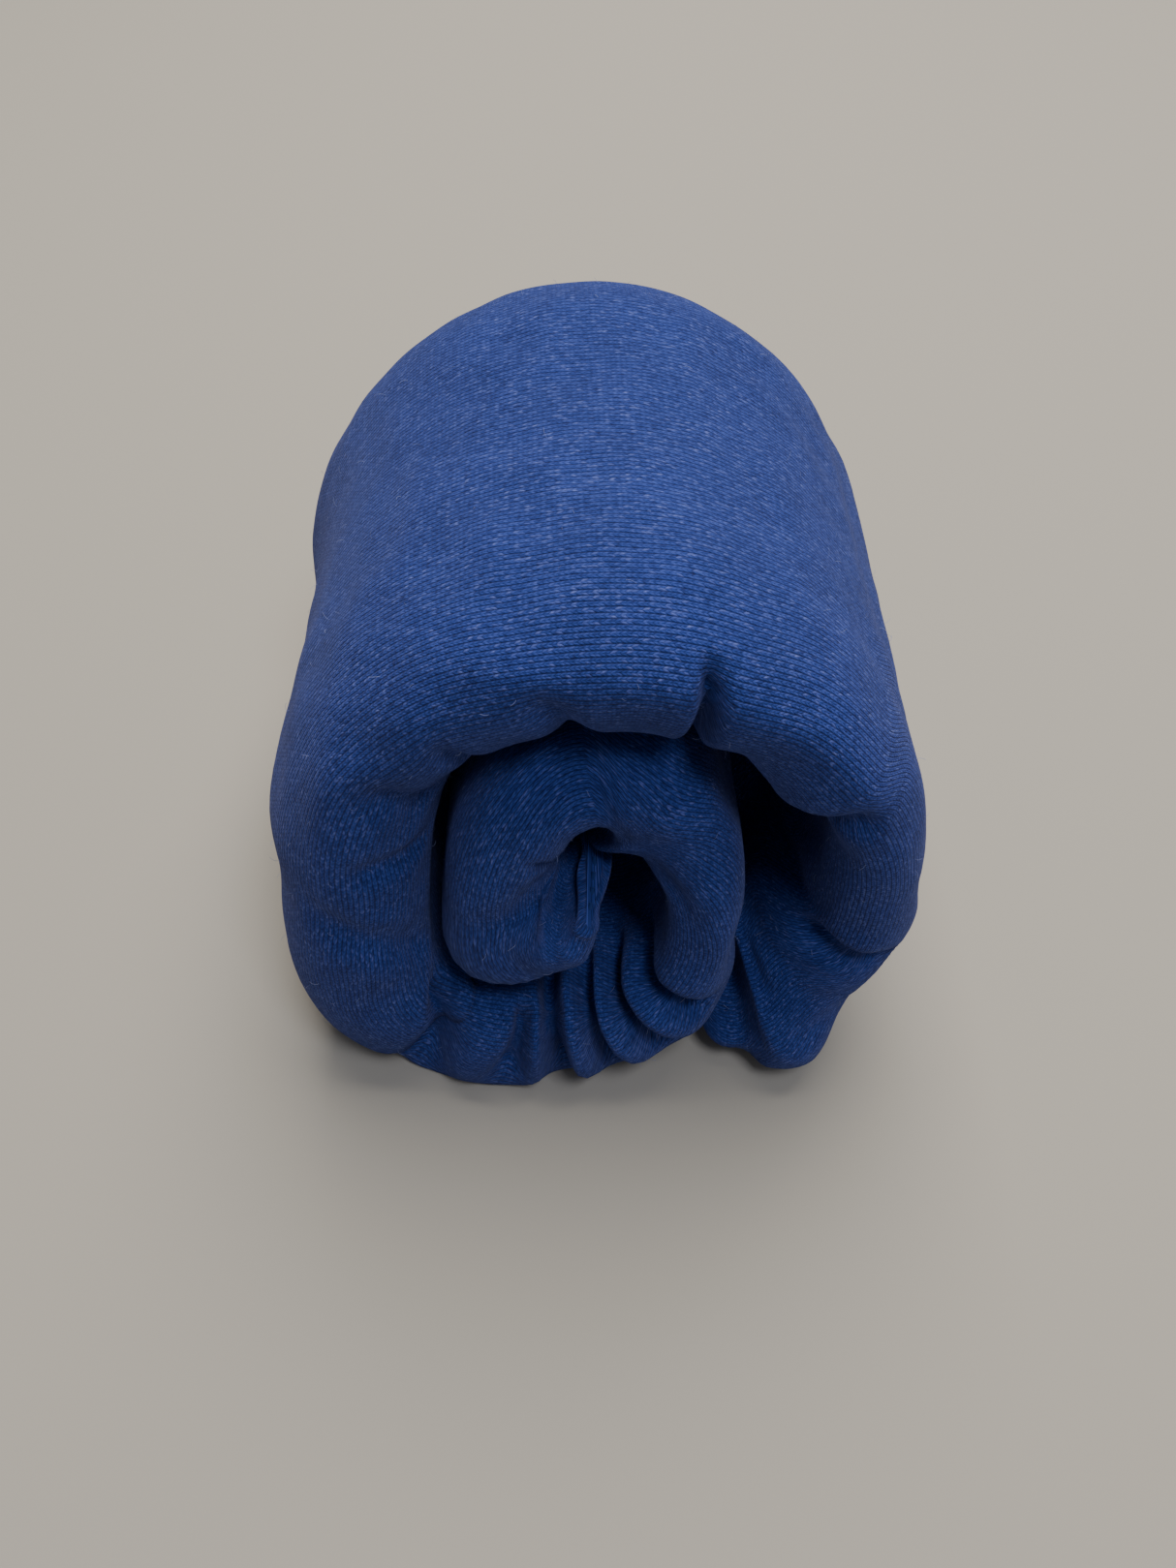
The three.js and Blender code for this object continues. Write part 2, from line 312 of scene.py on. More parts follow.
def sections(turn, angle_in, radius, thin, short, creased):
    """Dense sections as arrays (samples, stations): distance off the path, and Y.

    A pad's section is thinner and shorter than the cover's, and of the creases only those that
    run over the inner face reach it. The cover's creases are there where creased is 1.
    """
    outer, inner, tip, outer_round, inner_round, press = (
        along(STATIONS, column, turn) for column in range(1, 7)
    )
    is_pad = short > 0
    if is_pad:
        outer, inner = np.maximum(outer - thin, LEAST_PAD), np.maximum(inner - thin, LEAST_PAD)
        outer_round = np.maximum(outer_round - short, LEAST_PAD)
        inner_round = np.maximum(inner_round - short, LEAST_PAD)
        press = np.minimum(press, inner - LEAST_PAD)
    squeeze, inset = np.cos(angle_in), radius * (1 - np.cos(angle_in))
    outer, inner = outer * squeeze, inner * squeeze
    front_edge = FRONT + tip + inner_round + short
    back = FRONT + tip + along(SLEEVE_WIDTHS, 1, turn) - inset - short
    tip = FRONT + tip + inset + short
    off, y = [], []
    fold = crease_depth(turn, -np.pi / 2) * squeeze * (1.0 if is_pad else creased)
    angles = np.linspace(-np.pi / 2, np.pi / 2, LOBE_SAMPLES)
    shares = np.linspace(0, 1, FACE_SAMPLES + 2)[1:-1]
    belt = TUCK_DEPTH * np.exp(-(((turn - TUCK) / TUCK_HALF) ** 2))
    for angle in angles:
        half, rounding = (outer, outer_round) if angle > 0 else (inner, inner_round)
        valley = crease_depth(turn, angle) * squeeze * creased
        sunk = fold if is_pad and angle < 0 else valley
        off.append(np.maximum(half - sunk, LEAST_PAD * squeeze) * np.sin(angle))
        y.append(tip + rounding * (1 - np.cos(angle)) + valley * np.cos(angle))
    for share in shares:
        off.append(outer - belt)
        y.append((tip + outer_round) * (1 - share) + (back - BACK_ROUND * outer_round) * share)
    for angle in angles[::-1]:
        half, rounding = (outer, outer_round) if angle > 0 else (inner, inner_round)
        off.append((half - belt) * np.sin(angle))
        y.append(back - BACK_ROUND * rounding * (1 - np.cos(angle)) - belt * np.cos(angle))
    for share in shares:
        far = back - BACK_ROUND * inner_round
        here = far * (1 - share) + (tip + inner_round) * share
        fade = np.clip((here - tip - inner_round) / PRESS_FADE, 0, 1)
        fade *= np.clip((far - here) / PRESS_FADE, 0, 1)
        sunk = fold * (1 - smooth(np.clip((here - front_edge) / PRESS_FADE, 0, 1)))
        sunk += belt + press * squeeze * smooth(fade)
        off.append(-np.maximum(inner - sunk, LEAST_PAD * squeeze))
        y.append(here)
    return np.array(off), np.array(y)


def sleeve_grid(step, around, thin=0.0, short=0.0):
    """Points (stations, around, 3) in millimetres, with the turn and run of each station.

    Steps round the edge are counted as if there were no creases, so that a rib of the knit
    that crosses a crease runs straight on.
    """
    turn, run, slide, angle_in, radius = with_ends(*dense_turns(step))
    point, tangent, normal = spine(turn)
    point = point + slide[:, None] * tangent

    def dense_points(creased):
        off, y = sections(turn, angle_in, radius, thin, short, creased)
        x = point[:, 0] + off * normal[:, 0]
        z = np.maximum(point[:, 1] + off * normal[:, 1], 0.0)
        waist = WAIST_SHARE * np.exp(-(((y - WAIST_PLACE) / WAIST_REACH) ** 2))
        wider = BACK_SHARE * smooth(np.clip((y - BACK_START) / BACK_REACH, 0, 1))
        x = x * (1 - waist * smooth(np.clip(-x / SIDE_REACH, 0, 1)))
        x = x * (1 + wider * smooth(np.clip(x / SIDE_REACH, 0, 1)))
        points = np.stack([x, y, z], axis=-1)
        return np.concatenate([points, points[:1]])

    even_points = dense_points(0.0)
    points = dense_points(0.0 if short > 0 else 1.0)
    grid = np.empty((len(turn), around, 3))
    for k in range(len(turn)):
        steps = np.linalg.norm(np.diff(even_points[:, k], axis=0), axis=1)
        length = np.r_[0, np.cumsum(steps)]
        even = np.linspace(0, length[-1], around, endpoint=False)
        for axis in range(3):
            grid[k, :, axis] = np.interp(even, length, points[:, k, axis])
    return grid, turn, run


STATION_STEP, AROUND = 1.15, 200
cover_grid, TURNS, RUNS = sleeve_grid(STATION_STEP, AROUND)
print("sleeve is", round(RUNS[-1] - RUNS[0]), "mm long;", len(TURNS), "stations")

# %% [markdown]
# ## From points to cloth
#
# The grid of points becomes a closed mesh of quads, with a fan of triangles at each end. A UV
# map could be unwrapped, but this cloth was knitted flat and then rolled, so the map is simply
# the distance along the sleeve and round its edge, in millimetres. The knit follows it.

# %% From a grid to a closed mesh
SLEEVE_ROUND = 230.0  # mm round the flat sleeve


def grid_mesh(name, grid, run):
    """A closed mesh from a grid, with a UV map in millimetres: along the path, round the edge."""
    stations, around = grid.shape[:2]
    pitch = SLEEVE_ROUND / around
    k, j = np.meshgrid(np.arange(stations - 1), np.arange(around), indexing="ij")
    j2 = (j + 1) % around
    near, far = k * around, (k + 1) * around
    quads = np.stack([near + j, near + j2, far + j2, far + j], -1)
    u = np.stack([run[k], run[k], run[k + 1], run[k + 1]], -1)
    v = np.stack([j, j + 1, j + 1, j], -1) * pitch
    faces = quads.reshape(-1, 4).tolist()
    uvs = np.stack([u, v], -1).reshape(-1, 2).tolist()
    verts = (grid * MM).reshape(-1, 3).tolist()
    for ring, first, flip in ((0, 0, False), (stations - 1, (stations - 1) * around, True)):
        verts.append((grid[ring].mean(0) * MM).tolist())
        for step in range(around):
            a, b = first + step, first + (step + 1) % around
            faces.append((len(verts) - 1, a, b) if flip else (len(verts) - 1, b, a))
            uvs += [(run[ring], step * pitch)] * 3
    mesh = bpy.data.meshes.new(name)
    mesh.from_pydata(verts, [], faces)
    mesh.uv_layers.new(name="knit").data.foreach_set("uv", np.array(uvs, np.float32).ravel())
    mesh.polygons.foreach_set("use_smooth", [len(face) == 4 for face in faces])
    mesh.update()
    thing = bpy.data.objects.new(name, mesh)
    scene.collection.objects.link(thing)
    return thing


# %% [markdown]
# ## Loose cloth
#
# The jersey is a little larger than the pad needs, so it buckles softly where the sleeve bends.
# That is left to a cloth simulation on a coarser copy of the grid: the cloth grows a little,
# most of all on the lobes, it is held to its shape by soft springs, and the pad is air
# pressure. How far each point moved is then added to the fine grid.

# %% Cloth simulation
SIM_STEP, SIM_AROUND, SIM_FRAMES = 2.3, 100, 18
GROWTH = -0.12  # a negative shrink: the lobes' cloth grows by this share
FACE_GROWTH = 0.25  # the flat faces grow by this share of the lobes' growth
HOLD, PRESSURE = 0.25, 1.2
LOBE_POWER = 3  # how sharply the growth gathers on the lobes
FARTHEST = 3.0  # mm, no point moves more
CALM_UNTIL = 0.5  # the tail's end lies smoother than the rest
CALM_REACH, CALM_SHARE = 0.5, 0.3
GROUNDED = 1.0  # mm, lower than this the cloth rests on the floor and stays there
SMOOTHINGS = 2


def swell_cloth():
    rest, turn, run = sleeve_grid(SIM_STEP, SIM_AROUND)
    proxy = grid_mesh("cloth_proxy", rest, run)
    count = rest.shape[0] * rest.shape[1]
    height = rest[..., 2]
    lobe = np.abs(rest[..., 1] - rest[..., 1].mean(1, keepdims=True))
    lobe = np.clip(lobe / lobe.max(1, keepdims=True), 0, 1) ** LOBE_POWER
    past_tail = smooth(np.clip((turn - CALM_UNTIL) / CALM_REACH, 0, 1))[:, None]
    lobe *= CALM_SHARE + (1 - CALM_SHARE) * past_tail
    hold = proxy.vertex_groups.new(name="hold")
    grow = proxy.vertex_groups.new(name="grow")
    for index in range(count + 2):
        on_grid = index < count
        grounded = on_grid and height.flat[index] < GROUNDED
        hold.add([index], 1.0 if grounded or not on_grid else HOLD, "REPLACE")
        grow.add([index], float(lobe.flat[index]) if on_grid else 0.0, "REPLACE")
    cloth = proxy.modifiers.new("cloth", "CLOTH")
    settings = cloth.settings
    settings.quality = 6
    settings.mass = 0.15
    settings.tension_stiffness = settings.compression_stiffness = 12
    settings.shear_stiffness = 4
    settings.bending_stiffness = 0.35
    settings.vertex_group_mass = "hold"
    settings.pin_stiffness = 0.6
    settings.vertex_group_shrink = "grow"
    settings.shrink_min = GROWTH * FACE_GROWTH
    settings.shrink_max = GROWTH
    settings.use_pressure = True
    settings.uniform_pressure_force = PRESSURE
    settings.effector_weights.gravity = 0
    cloth.collision_settings.use_self_collision = True
    cloth.collision_settings.self_distance_min = 0.6 * MM
    cloth.point_cache.frame_end = SIM_FRAMES
    for frame_number in range(1, SIM_FRAMES + 1):
        scene.frame_set(frame_number)
    moved = np.empty((count + 2) * 3, np.float32)
    settled = proxy.evaluated_get(bpy.context.evaluated_depsgraph_get())
    settled.data.vertices.foreach_get("co", moved)
    shift = moved.reshape(-1, 3)[:count].reshape(rest.shape) / MM - rest
    bpy.data.objects.remove(proxy)
    scene.frame_set(1)
    for _ in range(SMOOTHINGS):
        beside = np.roll(shift, 1, 1) + np.roll(shift, -1, 1)
        shift = 0.5 * shift + 0.25 * beside
        shift[1:-1] = 0.5 * shift[1:-1] + 0.25 * (shift[2:] + shift[:-2])
    length = np.linalg.norm(shift, axis=-1, keepdims=True)
    return shift * np.minimum(1, FARTHEST / np.maximum(length, 1e-6)), run


def add_shift(grid, run, shift, shift_run):
    """Adds a coarse grid of movements to a fine grid."""
    across = np.arange(grid.shape[1]) * (shift.shape[1] / grid.shape[1])
    left = np.floor(across).astype(int)
    part = (across - left)[None, :, None]
    spread = shift[:, left] * (1 - part) + shift[:, (left + 1) % shift.shape[1]] * part
    moved = grid.copy()
    for j in range(grid.shape[1]):
        for axis in range(3):
            moved[:, j, axis] += np.interp(run, shift_run, spread[:, j, axis])
    moved[..., 2] = np.maximum(moved[..., 2], 0.0)
    return moved


cloth_shift, cloth_run = swell_cloth()
size = np.linalg.norm(cloth_shift, axis=-1)
print("cloth moved by mm: mean", round(float(size.mean()), 2), "most", round(float(size.max()), 2))
cover_grid = add_shift(cover_grid, RUNS, cloth_shift, cloth_run)

# %% [markdown]
# ## Wrap and coil
#
# The real sleeve is one piece. Here it is cut once, where the outer turn passes under the coil
# and the cut can't be seen. On the real roll the outer wrap bends when the tail is peeled off and
# the coil doesn't. Each part gets its own end caps and stays closed.

# %% Cut the sleeve into the outer wrap and the inner coil
tuck_station = int(np.argmin(np.abs(TURNS - TUCK)))
wrap = grid_mesh("knit_cover_wrap", cover_grid[: tuck_station + 1], RUNS[: tuck_station + 1])
coil = grid_mesh("knit_cover_coil", cover_grid[tuck_station:], RUNS[tuck_station:])
for piece in (wrap, coil):
    print(piece.name, len(piece.data.polygons), "faces")

# %% [markdown]
# ## The pad
#
# The pad is a long flat strip of loose fibre inside the cover. It can't be seen, but it holds
# the cover up. It could be a shrunken copy of the cover, but a shrunken crease turns inside out,
# so it is drawn from the cover's own sections, thinner and shorter.

# %% Pad
PAD_THIN, PAD_SHORT = 4.2, 12.0  # mm, further inside the cover than any wrinkle reaches
PAD_STEP, PAD_AROUND = 3.0, 60
PAD_FIRST, PAD_LAST = 0.35, 7.6  # the pad stops short of both thin closed ends, in turns

pad_grid, pad_turns, pad_runs = sleeve_grid(PAD_STEP, PAD_AROUND, PAD_THIN, PAD_SHORT)
pad_grid[..., 2] = np.maximum(pad_grid[..., 2], PAD_THIN / 2)


def pad_piece(name, first, last):
    return grid_mesh(name, pad_grid[first:last], pad_runs[first:last])


pad_tuck = int(np.argmin(np.abs(pad_turns - TUCK)))
pad_first, pad_last = (int(np.searchsorted(pad_turns, turn)) for turn in (PAD_FIRST, PAD_LAST))
pad_wrap = pad_piece("fibre_pad_wrap", pad_first, pad_tuck)
pad_coil = pad_piece("fibre_pad_coil", pad_tuck + 1, pad_last)
print("pads have", len(pad_wrap.data.polygons), "and", len(pad_coil.data.polygons), "faces")

# %% [markdown]
# ## Materials
#
# Every finish is a small tree of nodes. One function adds a node with its settings and links,
# and colours are written as the hex values that a colour picker shows.

# %% Helpers for materials
def colour(hex_value):
    """Linear colour from an sRGB hex value."""
    channels = [int(hex_value[i : i + 2], 16) / 255 for i in (1, 3, 5)]
    linear = [c / 12.92 if c <= 0.04045 else ((c + 0.055) / 1.055) ** 2.4 for c in channels]
    return (*linear, 1.0)


def node(tree, kind, inputs=None, **settings):
    """Adds a node. Settings are its properties; inputs are values or the sockets to link."""
    made = tree.nodes.new(kind)
    for key, value in settings.items():
        setattr(made, key, value)
    for key, value in (inputs or {}).items():
        if isinstance(value, bpy.types.NodeSocket):
            tree.links.new(value, made.inputs[key])
        else:
            made.inputs[key].default_value = value
    return made


def new_material(name):
    material = bpy.data.materials.new(name)
    material.use_nodes = True
    material.node_tree.nodes.clear()
    return material, material.node_tree


def plain_material(name, hex_value, roughness):
    material, tree = new_material(name)
    paint = node(
        tree, "ShaderNodeBsdfPrincipled",
        {"Base Color": colour(hex_value), "Roughness": roughness, "Specular IOR Level": 0.2},
    )
    node(tree, "ShaderNodeOutputMaterial", {0: paint.outputs[0]})
    return material


# %% [markdown]
# ## Jersey
#
# The cover is cotton sweatshirt jersey, knitted from yarn that was spun from pale and dark
# fibres together. Every stitch is a V, and the Vs stand in ribs along the sleeve. Real loops
# would need millions of faces, so the stitches are worked out by a few Math nodes in
# millimetres: they drive the colour of each leg of a V, a bump, and painted shade that darkens
# the groove between ribs and lightens the rib tops. Noise stretched a little across the ribs
# mixes the blues.

# %% Heathered sweatshirt jersey, knitted cotton
# Matt, with fine ribs of V stitches along the sleeve, pale and dark fibres mixed in each yarn,
# painted shade in the grooves between ribs, and a faint bloom at grazing angles from the brushed
# surface.
RIB_PITCH = 0.92  # mm between ribs
STITCH_PITCH = 0.66  # mm between stitches along a rib
STITCH_SLANT = 1.3  # stitches that a leg climbs from the groove to the middle of the rib
STITCH_RELIEF = 0.16 * MM
LEG_SHARE = 0.28  # how much of the blue changes from leg to leg, the rest from cloud to cloud


def jersey():
    material, tree = new_material("heathered_cotton_jersey")
    uv = node(tree, "ShaderNodeUVMap", uv_map="knit").outputs[0]
    split = node(tree, "ShaderNodeSeparateXYZ", {0: uv})

    def maths(operation, *values):
        return node(tree, "ShaderNodeMath", dict(enumerate(values)), operation=operation).outputs[0]

    def noise(scale, detail, along_u=1.0, along_v=1.0, place=0.0):
        spot = node(
            tree, "ShaderNodeMapping",
            {0: uv, "Scale": (along_u, along_v, 1), "Location": (place, place, 0)},
        )
        return node(
            tree, "ShaderNodeTexNoise",
            {"Vector": spot.outputs[0], "Scale": scale, "Detail": detail},
        ).outputs[0]

    def spread(value, low, high, to_low, to_high):
        ranges = {0: value, 1: low, 2: high, 3: to_low, 4: to_high}
        return node(tree, "ShaderNodeMapRange", ranges).outputs[0]

    rib = maths("DIVIDE", split.outputs[1], RIB_PITCH)
    row = maths("DIVIDE", split.outputs[0], STITCH_PITCH)
    from_middle = maths("ABSOLUTE", maths("SUBTRACT", maths("FRACT", rib), 0.5))
    leg_round = maths("SINE", maths("MULTIPLY", from_middle, 2 * math.pi))
    slanted = maths("ADD", row, maths("MULTIPLY", from_middle, STITCH_SLANT))
    stitch = maths("ABSOLUTE", maths("SINE", maths("MULTIPLY", slanted, math.pi)))
    column = maths("COSINE", maths("MULTIPLY", from_middle, math.pi))
    ribbed = maths("ADD", maths("MULTIPLY", leg_round, 0.4), maths("MULTIPLY", column, 0.6))
    height = maths("MULTIPLY", ribbed, maths("ADD", 0.5, maths("MULTIPLY", stitch, 0.5)))

    leg = node(
        tree, "ShaderNodeCombineXYZ",
        {0: maths("FLOOR", slanted), 1: maths("FLOOR", maths("MULTIPLY", rib, 2.0))},
    )
    each_leg = node(
        tree, "ShaderNodeTexWhiteNoise", {0: leg.outputs[0]}, noise_dimensions="2D",
    ).outputs[0]
    yarn = noise(1.0, 3.0, 1.7, 2.2)
    from_leg, from_yarn = maths("MULTIPLY", each_leg, LEG_SHARE), maths("MULTIPLY", yarn, 1 - LEG_SHARE)
    blend = maths("ADD", from_leg, from_yarn)
    blues = node(tree, "ShaderNodeValToRGB", {0: blend})
    ramp = blues.color_ramp
    ramp.elements[0].position, ramp.elements[0].color = 0.15, colour("#171d4a")
    ramp.elements[1].position, ramp.elements[1].color = 0.92, colour("#7078b8")
    for position, hex_value in ((0.45, "#293a7e"), (0.68, "#3b4c94")):
        ramp.elements.new(position).color = colour(hex_value)

    pale = spread(each_leg, 0.88, 1.0, 0.0, 0.14)
    flecked = node(
        tree, "ShaderNodeMix", {0: pale, 6: blues.outputs[0], 7: colour("#858dc8")},
        data_type="RGBA",
    )
    # painted shade: the colour is darkened in the grooves between ribs and lightened on the rib tops
    painted_groove_shade = spread(height, 0.0, 0.8, 0.42, 1.30)
    cloud = spread(noise(0.09, 2.0, place=9.0), 0.3, 0.7, 0.92, 1.08)
    # the blues, times the painted groove shade and a random cloud of tone
    blues_with_painted_shade_and_cloud = node(
        tree, "ShaderNodeMix",
        {0: 1.0, 6: flecked.outputs[2], 7: maths("MULTIPLY", painted_groove_shade, cloud)},
        data_type="RGBA", blend_type="MULTIPLY",
    )
    fuzz = maths("ADD", height, maths("MULTIPLY", noise(2.2, 3.0, place=3.0), 0.5))
    bump = node(
        tree, "ShaderNodeBump", {"Height": fuzz, "Distance": STITCH_RELIEF, "Strength": 1.0},
    )
    cloth = node(
        tree, "ShaderNodeBsdfPrincipled",
        {
            "Base Color": blues_with_painted_shade_and_cloud.outputs[2], "Roughness": 0.95, "Specular IOR Level": 0.2,
            "Sheen Weight": 0.2, "Sheen Roughness": 0.45, "Sheen Tint": colour("#a4a9dc"),
            "Normal": bump.outputs[0],
        },
    )
    node(tree, "ShaderNodeOutputMaterial", {0: cloth.outputs[0]})
    return material


JERSEY = jersey()
print(JERSEY.name, "has", len(JERSEY.node_tree.nodes), "nodes")

# %% [markdown]
# ## Fill, thread and lint
#
# The fill, the thread and the loose fibres are all too thin or too hidden for a pattern, so each
# is one plain matt colour.

# %% Fill, thread and lint
# White polyester fibre fill, matt and springy.
FILL = plain_material("polyester_fibre_fill", "#e9e6de", 1.0)
# Spun polyester sewing thread, a shade darker than the cloth.
THREAD = plain_material("spun_sewing_thread", "#22356e", 0.7)
# Loose cotton fibres that rub up out of the knit, most of them undyed.
LINT = plain_material("loose_cotton_fibre", "#8f98c4", 1.0)
for piece in (wrap, coil):
    piece.data.materials.append(JERSEY)
for piece in (pad_wrap, pad_coil):
    piece.data.materials.append(FILL)

# %% [markdown]
# ## Closing stitches
#
# Each end of the sleeve is closed by hand with a row of small stitches. They could be placed
# one by one, but they repeat, so a small Geometry Nodes tree lays them along the line of the
# end: it resamples the line, puts a short thread across it at every step, and makes the
# result real.

# %% Geometry Nodes helpers
def new_tree(name, sizes):
    tree = bpy.data.node_groups.new(name, "GeometryNodeTree")
    tree.interface.new_socket("Geometry", in_out="INPUT", socket_type="NodeSocketGeometry")
    for label, value in sizes.items():
        kind = "NodeSocketInt" if isinstance(value, int) else "NodeSocketFloat"
        tree.interface.new_socket(label, in_out="INPUT", socket_type=kind).default_value = value
    tree.interface.new_socket("Geometry", in_out="OUTPUT", socket_type="NodeSocketGeometry")
    return tree, tree.nodes.new("NodeGroupInput")


def finish_tree(tree, instances, material):
    real = node(tree, "GeometryNodeRealizeInstances", {0: instances})
    shown = node(tree, "GeometryNodeSetMaterial", {0: real.outputs[0], "Material": material})
    node(tree, "NodeGroupOutput", {0: shown.outputs[0]})


def grown(name, source, tree, sizes):
    """Runs a tree on an object and keeps the result as a plain mesh of its own."""
    modifier = source.modifiers.new("grow", "NODES")
    modifier.node_group = tree
    for item in tree.interface.items_tree:
        if item.in_out == "INPUT" and item.name in sizes:
            modifier[item.identifier] = sizes[item.name]
    source.update_tag()
    ready = source.evaluated_get(bpy.context.evaluated_depsgraph_get())
    mesh = bpy.data.meshes.new_from_object(ready)
    source.modifiers.remove(modifier)
    made = bpy.data.objects.new(name, mesh)
    scene.collection.objects.link(made)
    print(name, len(mesh.polygons), "faces")
    return made


# %% Stitches along a seam
STITCH_SPACING, STITCH_LENGTH = 3 * MM, 2.2 * MM
THREAD_RADIUS = 0.35 * MM
THREAD_SIDES = 8
STITCH_TILT = math.radians(35)  # a hand stitch crosses the seam at a slant


def stitch_tree():
    sizes = {"Spacing": STITCH_SPACING, "Length": STITCH_LENGTH, "Thickness": THREAD_RADIUS}
    tree, given = new_tree("closing stitches", sizes)
    curve = node(tree, "GeometryNodeMeshToCurve", {0: given.outputs["Geometry"]})
    spaced = node(tree, "GeometryNodeResampleCurve", {0: curve.outputs[0]})
    spaced.mode = "LENGTH"
    tree.links.new(given.outputs["Spacing"], spaced.inputs["Length"])
    thread = node(
        tree, "GeometryNodeMeshCylinder",
        {
            "Vertices": THREAD_SIDES, "Radius": given.outputs["Thickness"],
            "Depth": given.outputs["Length"],
        },
    )
    tangent = node(tree, "GeometryNodeInputTangent")
    turn = node(tree, "FunctionNodeAlignEulerToVector", {"Vector": tangent.outputs[0]}, axis="Z")
    tilt = node(
        tree, "FunctionNodeRotateEuler",
        {0: turn.outputs[0], 1: (STITCH_TILT, 0.0, 0.0)},
        space="LOCAL",
    )
    placed = node(
        tree, "GeometryNodeInstanceOnPoints",
        {0: spaced.outputs[0], "Instance": thread.outputs[0], "Rotation": tilt.outputs[0]},
    )
    finish_tree(tree, placed.outputs[0], THREAD)
    return tree


STITCHES = stitch_tree()
SEAM_MARGIN = 8  # grid points left bare at each end of a seam
SEAM_GROUP = 4  # neighbouring points of both faces that make one point of the seam's line


def closing_seam(name, station):
    """Stitches along the middle of the ring that closes an end."""
    ring = cover_grid[station]
    order = ring[np.argsort(ring[:, 1])][SEAM_MARGIN:-SEAM_MARGIN]
    whole = len(order) // SEAM_GROUP * SEAM_GROUP
    line = order[:whole].reshape(-1, SEAM_GROUP, 3).mean(1)
    mesh = bpy.data.meshes.new(name + "_line")
    mesh.from_pydata((line * MM).tolist(), [(i, i + 1) for i in range(len(line) - 1)], [])
    path = bpy.data.objects.new(name + "_line", mesh)
    scene.collection.objects.link(path)
    seam = grown(name, path, STITCHES, {"Spacing": STITCH_SPACING})
    bpy.data.objects.remove(path)
    return seam


tail_seam = closing_seam("closing_stitches_tail", 0)
core_seam = closing_seam("closing_stitches_core", len(TURNS) - 1)

# %% [markdown]
# ## Loose fibres
#
# A brushed cotton knit is never clean at its edge: fine fibres stand off it, and a few long pale
# ones lie on it. Hair particles would do, but they can't be exported. So Geometry Nodes scatter
# thin bent threads with a fixed seed, each of them leaning a different way.

# %% Fibres on the cover
LINT_FLOOR = 3 * MM  # none grow lower than this
LINT_DENSITY = 9000.0  # in each square metre
LINT_LENGTH = 1.2 * MM
LINT_SIZES = (0.5, 1.6)  # shortest and longest, as shares of that length
LINT_LEAN = 0.4  # radians to either side
# One fibre, drawn one unit long: it rises from the cloth and then leans over.
LINT_ARC = {"Start": (0, 0, 0), "Middle": (0.1, 0, 0.45), "End": (0.75, 0.15, 0.5)}
LINT_STEPS, LINT_SIDES, LINT_RADIUS = 3, 3, 0.018
FULL_TURN = 6.283


def lint_tree():
    sizes = {"Density": LINT_DENSITY, "Length": LINT_LENGTH, "Seed": SEED}
    tree, given = new_tree("loose fibres", sizes)
    position = node(tree, "GeometryNodeInputPosition")
    place = node(tree, "ShaderNodeSeparateXYZ", {0: position.outputs[0]})
    above = node(
        tree, "FunctionNodeCompare", {0: place.outputs[2], 1: LINT_FLOOR}, operation="GREATER_THAN",
    )
    spots = node(
        tree, "GeometryNodeDistributePointsOnFaces",
        {
            0: given.outputs["Geometry"], "Selection": above.outputs[0],
            "Density": given.outputs["Density"], "Seed": given.outputs["Seed"],
        },
    )
    arc = node(tree, "GeometryNodeCurveQuadraticBezier", {"Resolution": LINT_STEPS, **LINT_ARC})
    profile = node(
        tree, "GeometryNodeCurvePrimitiveCircle",
        {"Resolution": LINT_SIDES, "Radius": LINT_RADIUS}, mode="RADIUS",
    )
    hair = node(tree, "GeometryNodeCurveToMesh", {0: arc.outputs[0], 1: profile.outputs[0]})
    spin = node(
        tree, "FunctionNodeRandomValue",
        {
            0: (-LINT_LEAN, -LINT_LEAN, 0.0), 1: (LINT_LEAN, LINT_LEAN, FULL_TURN),
            "Seed": given.outputs["Seed"],
        },
        data_type="FLOAT_VECTOR",
    )
    turned = node(
        tree, "FunctionNodeRotateEuler",
        {0: spots.outputs["Rotation"], 1: spin.outputs[0]},
        space="LOCAL",
    )
    size = node(
        tree, "FunctionNodeRandomValue",
        {2: LINT_SIZES[0], 3: LINT_SIZES[1], "Seed": given.outputs["Seed"]},
        data_type="FLOAT",
    )
    scaled = node(
        tree, "ShaderNodeMath", {0: size.outputs[1], 1: given.outputs["Length"]},
        operation="MULTIPLY",
    )
    placed = node(
        tree, "GeometryNodeInstanceOnPoints",
        {
            0: spots.outputs["Points"], "Instance": hair.outputs[0],
            "Rotation": turned.outputs[0], "Scale": scaled.outputs[0],
        },
    )
    finish_tree(tree, placed.outputs[0], LINT)
    return tree


FIBRES = lint_tree()
wrap_lint = grown("loose_fibres_wrap", wrap, FIBRES, {"Density": LINT_DENSITY, "Seed": SEED})
coil_lint = grown("loose_fibres_coil", coil, FIBRES, {"Density": LINT_DENSITY, "Seed": SEED + 1})

# %% [markdown]
# ## Floor
#
# The roll lies on a hard floor, which presses its underside flat and throws a little light back
# up at it. One large plane does that. It is staging, not a part of the object.

# %% Floor
FLOOR_SIZE = 3.0


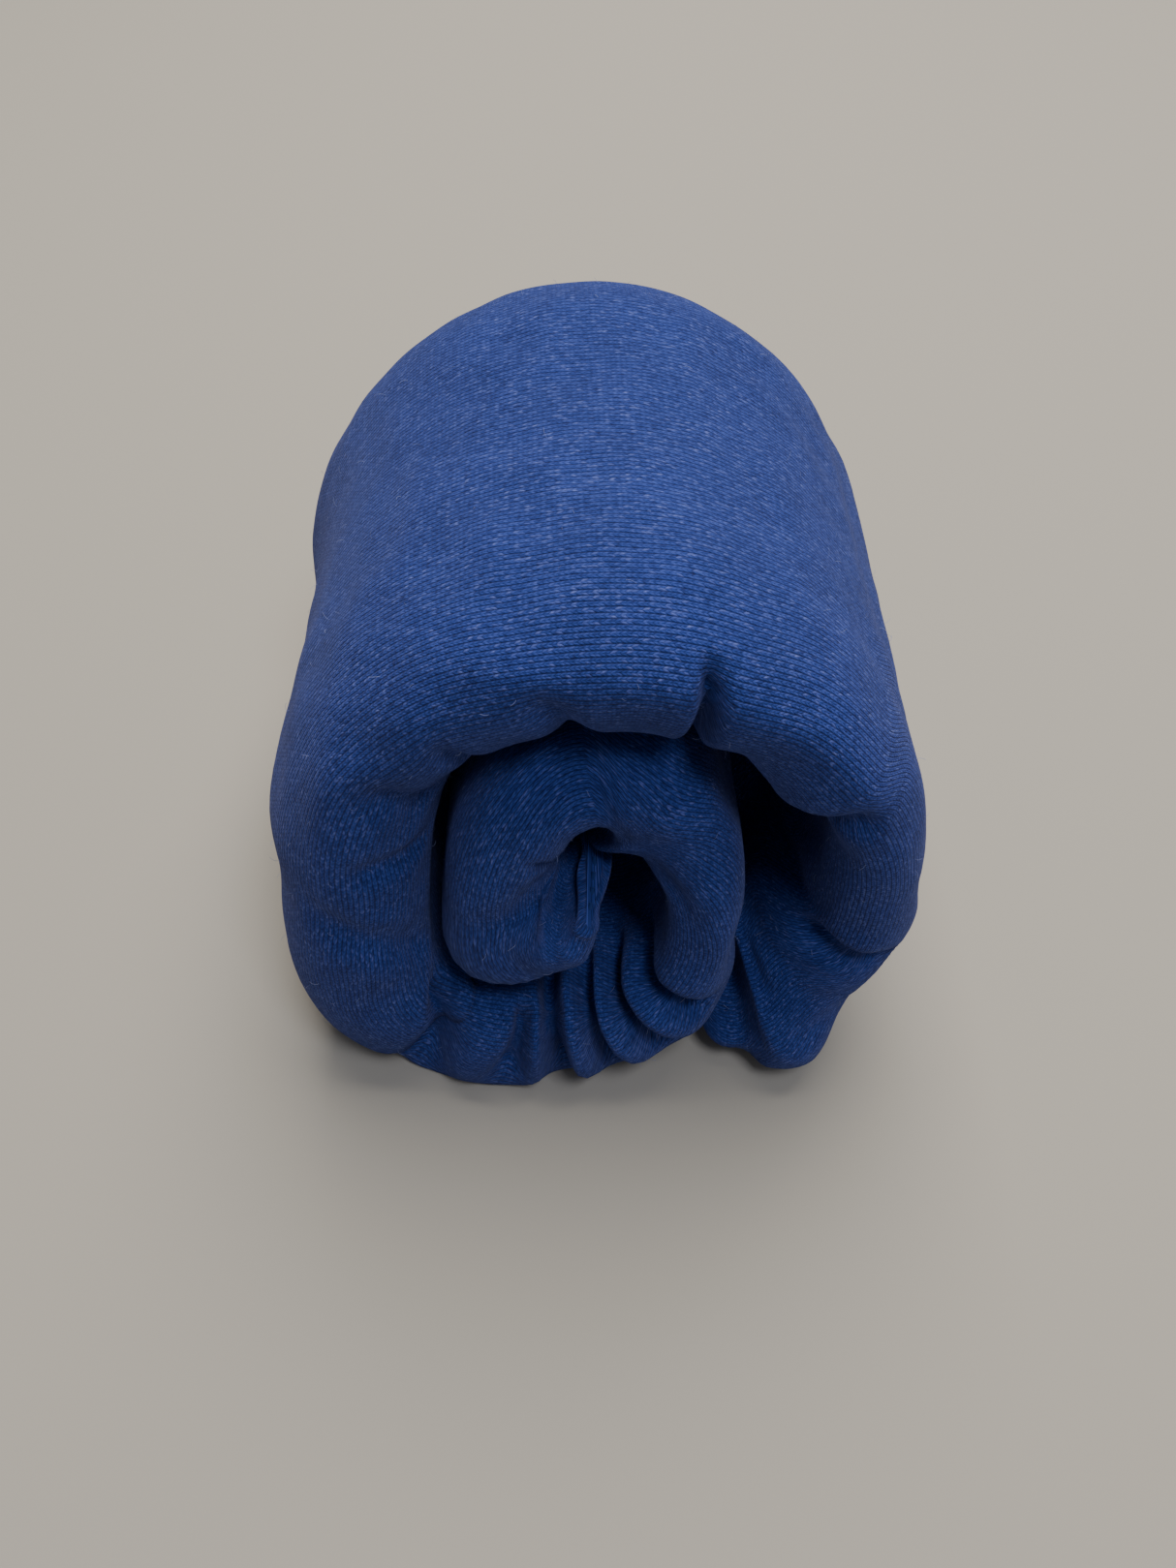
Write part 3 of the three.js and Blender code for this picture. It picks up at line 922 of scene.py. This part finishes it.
def floor():
    bpy.ops.mesh.primitive_plane_add(size=FLOOR_SIZE)
    plane = bpy.context.object
    plane.name = "floor"
    plane.data.materials.append(plain_material("pale_matt_floor", "#b6b0a5", 0.9))
    print(plane.name, "is", FLOOR_SIZE, "m wide")


floor()


# %% [markdown]
# ## Light
#
# Matt cloth shows its folds only where light comes from one side. A large soft lamp above and
# behind stands for a window and leaves the front of the roll in its own shade. A small weak one
# in front opens that shade a little, and a dim sky fills the rest.

# %% Lights
ROOM_LIGHT = 0.17


def soft_light(name, place, aim, size, power, tint):
    data = bpy.data.lights.new(name, "AREA")
    data.size = size
    data.energy = power
    data.color = colour(tint)[:3]
    lamp = bpy.data.objects.new(name, data)
    lamp.location = place
    lamp.rotation_euler = (Vector(aim) - Vector(place)).to_track_quat("-Z", "Y").to_euler()
    scene.collection.objects.link(lamp)
    return lamp


soft_light("window", (0.12, 0.50, 1.1), (0, 0.02, 0.05), 0.9, 18.0, "#fffaf2")
soft_light("front_fill", (0.30, -0.42, 1.25), (0, 0, 0.05), 0.35, 5.4, "#eef3ff")
world = bpy.data.worlds.new("room")
scene.world = world
world.use_nodes = True
background = world.node_tree.nodes["Background"]
background.inputs[0].default_value = colour("#dfe3ea")
background.inputs[1].default_value = ROOM_LIGHT
print(len(bpy.data.lights), "lamps and a dim sky")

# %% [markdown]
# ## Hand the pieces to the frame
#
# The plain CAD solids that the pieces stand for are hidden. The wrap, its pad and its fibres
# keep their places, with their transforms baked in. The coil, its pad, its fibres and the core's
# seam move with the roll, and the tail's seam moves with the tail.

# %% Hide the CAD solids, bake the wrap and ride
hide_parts("cover_tail_wrap", "cover_outer_turn")
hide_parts("cover_inner_turn", "cover_core_fold")
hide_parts("pad_tail_wrap", "pad_outer_turn")
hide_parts("pad_inner_turn", "pad_core_fold")
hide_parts("thread_tail_end")
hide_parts("thread_core_end")
for piece in (wrap, pad_wrap, wrap_lint):
    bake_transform(piece)
for piece in (coil, pad_coil, coil_lint, core_seam):
    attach(piece, "roll")
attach(tail_seam, "tail")
